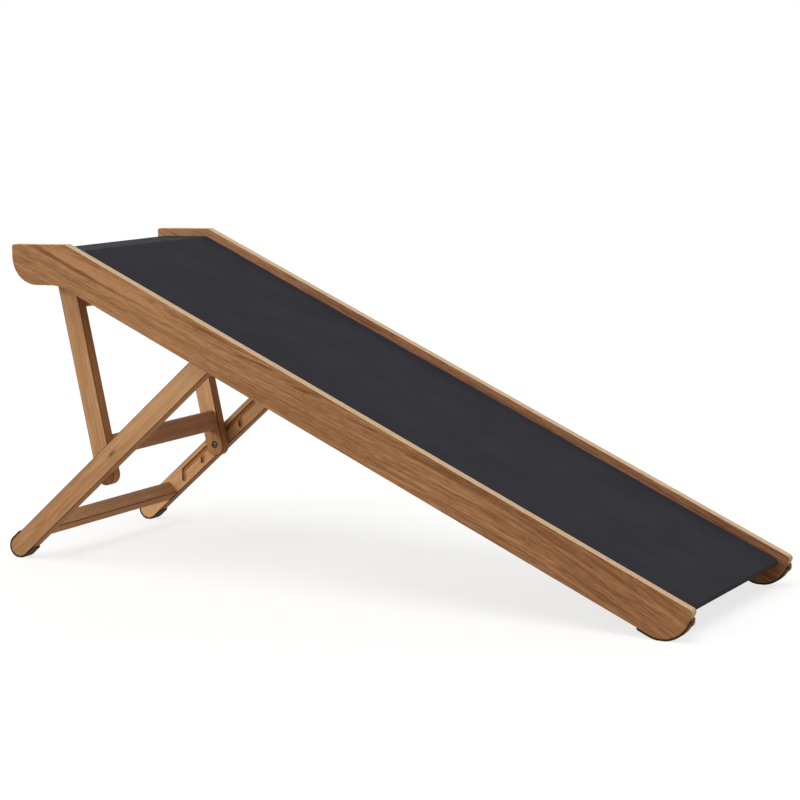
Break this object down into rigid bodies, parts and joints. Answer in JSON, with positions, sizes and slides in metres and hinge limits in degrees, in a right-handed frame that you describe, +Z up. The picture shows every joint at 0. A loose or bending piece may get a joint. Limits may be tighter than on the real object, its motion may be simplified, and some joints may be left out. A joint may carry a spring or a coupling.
{
  "type": "pet ramp",
  "caption": "Folding wooden pet ramp with a level head, raised side rails, a soft deck mat and a hinged prop with notched height settings.",
  "frame": {"origin": "on the floor, at the middle of the footprint's length and width", "axes": "+X towards the low end, +Y towards the right rail of a pet walking up, +Z up"},
  "size_m": [1.0848, 0.4, 0.4702],
  "materials": {
    "rail_wood": "satin oiled, open grain",
    "leg_wood": "satin oiled",
    "stretcher_wood": "satin oiled",
    "hidden_wood": "plain",
    "mat_fabric": "short dense pile",
    "rubber": "matte",
    "steel": "satin",
    "nylon": "matte"
  },
  "bodies": {
    "ramp": {"left_rail": "rail_wood", "right_rail": "rail_wood", "platform_board": "hidden_wood", "deck_board": "hidden_wood", "deck_mat": "mat_fabric", "head_crossbar": "hidden_wood", "foot_crossbar": "hidden_wood", "head_crossbar_dowel_left": "hidden_wood", "head_crossbar_dowel_right": "hidden_wood", "foot_crossbar_dowel_left": "hidden_wood", "foot_crossbar_dowel_right": "hidden_wood", "left_rail_pad": "rubber", "right_rail_pad": "rubber", "left_rail_pad_screw": "steel", "right_rail_pad_screw": "steel", "prop_pivot_insert_left": "steel", "prop_pivot_insert_right": "steel", "brace_pivot_insert_left": "steel", "brace_pivot_insert_right": "steel", "prop_pivot_washer_left": "nylon", "prop_pivot_washer_right": "nylon", "brace_pivot_spacer_left": "nylon", "brace_pivot_spacer_right": "nylon", "prop_pivot_bolt_left": "steel", "prop_pivot_bolt_right": "steel", "brace_pivot_bolt_left": "steel", "brace_pivot_bolt_right": "steel"},
    "prop_frame": {"left_prop_leg": "leg_wood", "right_prop_leg": "leg_wood", "left_foot_shoe": "rubber", "right_foot_shoe": "rubber", "prop_stretcher": "stretcher_wood", "prop_stretcher_dowel_left_1": "hidden_wood", "prop_stretcher_dowel_left_2": "hidden_wood", "prop_stretcher_dowel_right_1": "hidden_wood", "prop_stretcher_dowel_right_2": "hidden_wood"},
    "brace_frame": {"left_brace_leg": "leg_wood", "right_brace_leg": "leg_wood", "notch_bolt_left": "steel", "notch_bolt_right": "steel", "brace_lower_stretcher": "stretcher_wood", "brace_lower_stretcher_dowel_left_1": "hidden_wood", "brace_lower_stretcher_dowel_left_2": "hidden_wood", "brace_lower_stretcher_dowel_right_1": "hidden_wood", "brace_lower_stretcher_dowel_right_2": "hidden_wood", "brace_upper_stretcher": "stretcher_wood", "brace_upper_stretcher_dowel_left_1": "hidden_wood", "brace_upper_stretcher_dowel_left_2": "hidden_wood", "brace_upper_stretcher_dowel_right_1": "hidden_wood", "brace_upper_stretcher_dowel_right_2": "hidden_wood"}
  },
  "joints": [
    {"name": "prop_hinge", "type": "hinge", "parent": "ramp", "child": "prop_frame", "pos_m": [-0.19137, 0, 0.32347], "axis": [0, -1, 0], "range_deg": [-11.9, 113.6]},
    {"name": "brace_hinge", "type": "hinge", "parent": "ramp", "child": "brace_frame", "pos_m": [-0.45667, 0, 0.43054], "axis": [0, -1, 0], "range_deg": [-22.3, 52.9]}
  ]
}
